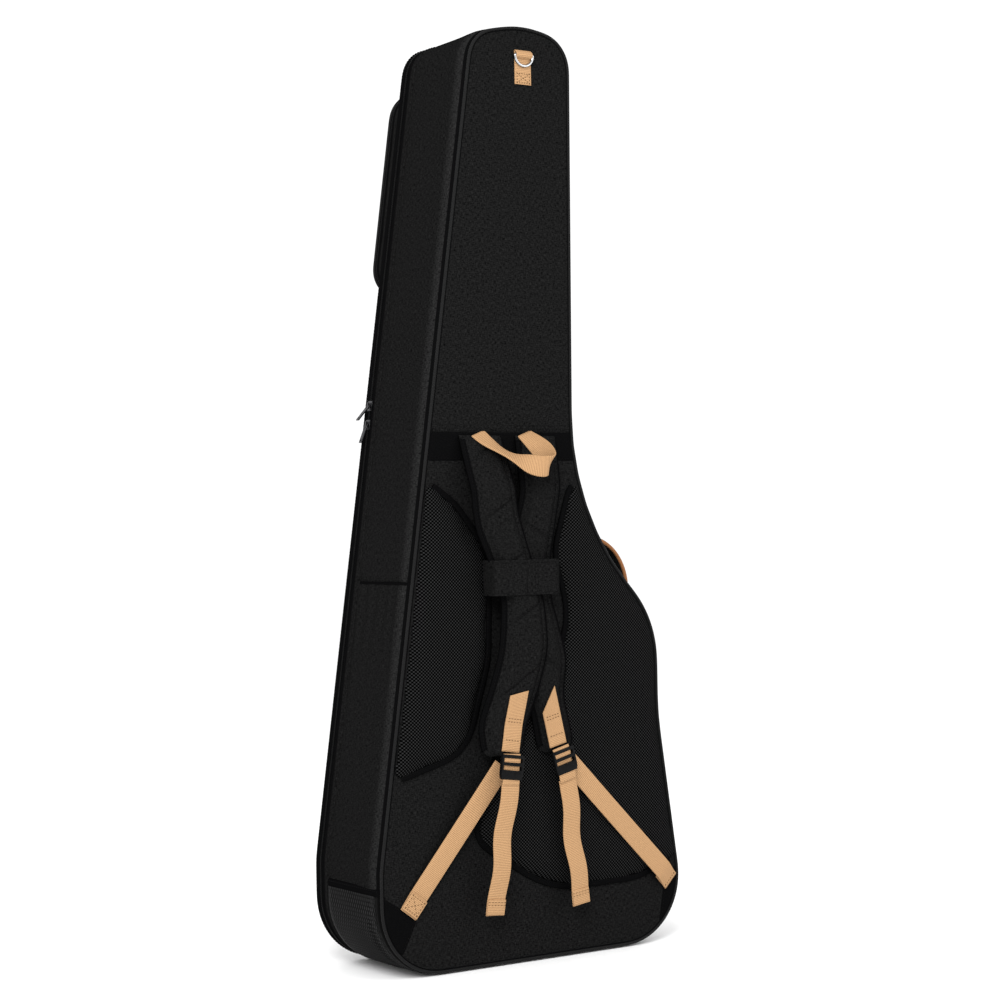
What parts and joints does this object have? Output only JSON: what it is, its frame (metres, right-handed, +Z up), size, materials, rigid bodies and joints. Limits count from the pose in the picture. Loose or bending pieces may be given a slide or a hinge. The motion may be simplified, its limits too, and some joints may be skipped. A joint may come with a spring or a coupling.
{
  "type": "padded gig bag",
  "caption": "Tall padded gig bag for an acoustic guitar, with a zipped lid, two zipped pockets, padded backpack straps, mesh back pads and tan webbing.",
  "frame": {"origin": "under the centre of the bag's bounding box, on the surface it stands on", "axes": "+Z up along the neck, harness and back pads face -Y, lid and pockets face +Y, +X to the right as seen from the harness side"},
  "size_m": [0.4419, 0.2322, 1.123],
  "materials": {
    "canvas": "woven melange polyester, matt",
    "mesh": "three-dimensional air mesh",
    "guard": "coarse ribbed non-slip fabric",
    "foam": "closed-cell foam",
    "plush": "short plush lining",
    "webbing": "tan cotton-look webbing",
    "zip": "zip tape with nylon coil",
    "piping": "fabric-covered cord",
    "metal": "polished steel",
    "slider_metal": "gunmetal",
    "buckle": "black acetal"
  },
  "bodies": {
    "bag": {"back_cover_upper": "canvas", "back_cover_lower": "canvas", "back_foam": "foam", "back_lining": "plush", "back_piping": "piping", "gusset_upper": "canvas", "gusset_lower": "canvas", "gusset_foam": "foam", "gusset_lining": "plush", "gusset_border": "canvas", "body_zip_tape": "zip", "hinge_strip": "canvas", "base_guard": "guard", "corner_patch_left": "guard", "corner_patch_right": "guard", "mesh_pad_left": "mesh", "mesh_pad_right": "mesh", "strap_yoke": "canvas", "shoulder_strap_left": "canvas", "shoulder_strap_right": "canvas", "sewn_web_left": "webbing", "sewn_web_right": "webbing", "anchor_web_left": "webbing", "anchor_web_right": "webbing", "tail_web_left": "webbing", "tail_web_right": "webbing", "keeper_band": "canvas", "hang_tab": "webbing", "handle_tabs": "canvas", "neck_cradle": "plush", "head_pad": "plush", "tail_pad": "plush"},
    "haul_loop": {"haul_loop": "webbing"},
    "d_ring": {"d_ring": "metal"},
    "side_handle": {"side_handle": "canvas"},
    "neck_strap": {"neck_strap": "canvas"},
    "buckle_left": {"buckle_left": "buckle"},
    "buckle_right": {"buckle_right": "buckle"},
    "main_slider_upper": {"main_slider_upper": "slider_metal"},
    "main_pull_upper": {"main_pull_upper": "slider_metal"},
    "main_slider_lower": {"main_slider_lower": "slider_metal"},
    "main_pull_lower": {"main_pull_lower": "slider_metal"},
    "lid": {"lid_cover": "canvas", "lid_rim": "canvas", "lid_foam": "foam", "lid_lining": "plush", "lid_zip_tape": "zip", "neck_pocket_wall": "canvas", "neck_pocket_zip": "zip", "body_pocket_wall": "canvas", "body_pocket_zip": "zip"},
    "neck_pocket_cover": {"neck_pocket_cover": "canvas"},
    "neck_pocket_slider": {"neck_pocket_slider": "slider_metal"},
    "neck_pocket_pull": {"neck_pocket_pull": "slider_metal"},
    "body_pocket_cover": {"body_pocket_cover": "canvas"},
    "body_pocket_slider": {"body_pocket_slider": "slider_metal"},
    "body_pocket_pull": {"body_pocket_pull": "slider_metal"}
  },
  "joints": [
    {"name": "lid_hinge", "type": "hinge", "parent": "bag", "child": "lid", "pos_m": [0.2226, 0.0654, 0.5], "axis": [0, 0, -1], "range_deg": [0, 120]},
    {"name": "main_zip_up", "type": "slide", "parent": "bag", "child": "main_slider_upper", "axis": [0.1462, 0, 0.9893], "range_m": [0, 0.37]},
    {"name": "main_pull_upper_swing", "type": "hinge", "parent": "main_slider_upper", "child": "main_pull_upper", "pos_m": [-0.1404, 0.0656, 0.67154], "axis": [0, 1, 0], "range_deg": [-20, 96]},
    {"name": "main_zip_down", "type": "slide", "parent": "bag", "child": "main_slider_lower", "axis": [0.1462, 0, 0.9893], "range_m": [-0.43, 0]},
    {"name": "main_pull_lower_swing", "type": "hinge", "parent": "main_slider_lower", "child": "main_pull_lower", "pos_m": [-0.1438, 0.0656, 0.64854], "axis": [0, 1, 0], "range_deg": [-10, 78]},
    {"name": "neck_pocket_open", "type": "hinge", "parent": "lid", "child": "neck_pocket_cover", "pos_m": [0, 0.1108, 0.812], "axis": [-1, 0, 0], "range_deg": [0, 75]},
    {"name": "neck_pocket_zip_run", "type": "slide", "parent": "lid", "child": "neck_pocket_slider", "axis": [0, 0, 1], "range_m": [0, 0.15]},
    {"name": "neck_pocket_pull_swing", "type": "hinge", "parent": "neck_pocket_slider", "child": "neck_pocket_pull", "pos_m": [0.0586, 0.1057, 0.86], "axis": [0, -1, 0], "range_deg": [-6, 120]},
    {"name": "body_pocket_open", "type": "hinge", "parent": "lid", "child": "body_pocket_cover", "pos_m": [0, 0.1108, 0.046], "axis": [-1, 0, 0], "range_deg": [0, 75]},
    {"name": "body_pocket_zip_run", "type": "slide", "parent": "lid", "child": "body_pocket_slider", "axis": [-1, 0, 0], "range_m": [0, 0.14]},
    {"name": "body_pocket_pull_swing", "type": "hinge", "parent": "body_pocket_slider", "child": "body_pocket_pull", "pos_m": [0.062, 0.1057, 0.4446], "axis": [0, 1, 0], "range_deg": [-3, 120]},
    {"name": "ring_swing", "type": "hinge", "parent": "bag", "child": "d_ring", "pos_m": [0, -0.076, 1.088], "axis": [-1, 0, 0], "range_deg": [0, 150]},
    {"name": "haul_loop_swing", "type": "hinge", "parent": "bag", "child": "haul_loop", "pos_m": [-0.04, -0.0736, 0.633], "axis": [-1, 0, 0], "range_deg": [0, 100]},
    {"name": "side_handle_lean", "type": "hinge", "parent": "bag", "child": "side_handle", "pos_m": [0.14, -0.003, 0.451], "axis": [0.6, 0, -0.8], "range_deg": [-12, 12]},
    {"name": "buckle_left_tilt", "type": "hinge", "parent": "bag", "child": "buckle_left", "pos_m": [-0.05733, -0.1096, 0.25188], "axis": [-0.9903, 0, 0.1392], "range_deg": [0, 35]},
    {"name": "buckle_right_tilt", "type": "hinge", "parent": "bag", "child": "buckle_right", "pos_m": [0.0211, -0.1006, 0.25264], "axis": [-0.9703, 0, -0.2419], "range_deg": [0, 35]},
    {"name": "neck_strap_lift", "type": "hinge", "parent": "bag", "child": "neck_strap", "pos_m": [-0.052, -0.0056, 0.83], "axis": [0, 0, 1], "range_deg": [0, 45]}
  ]
}
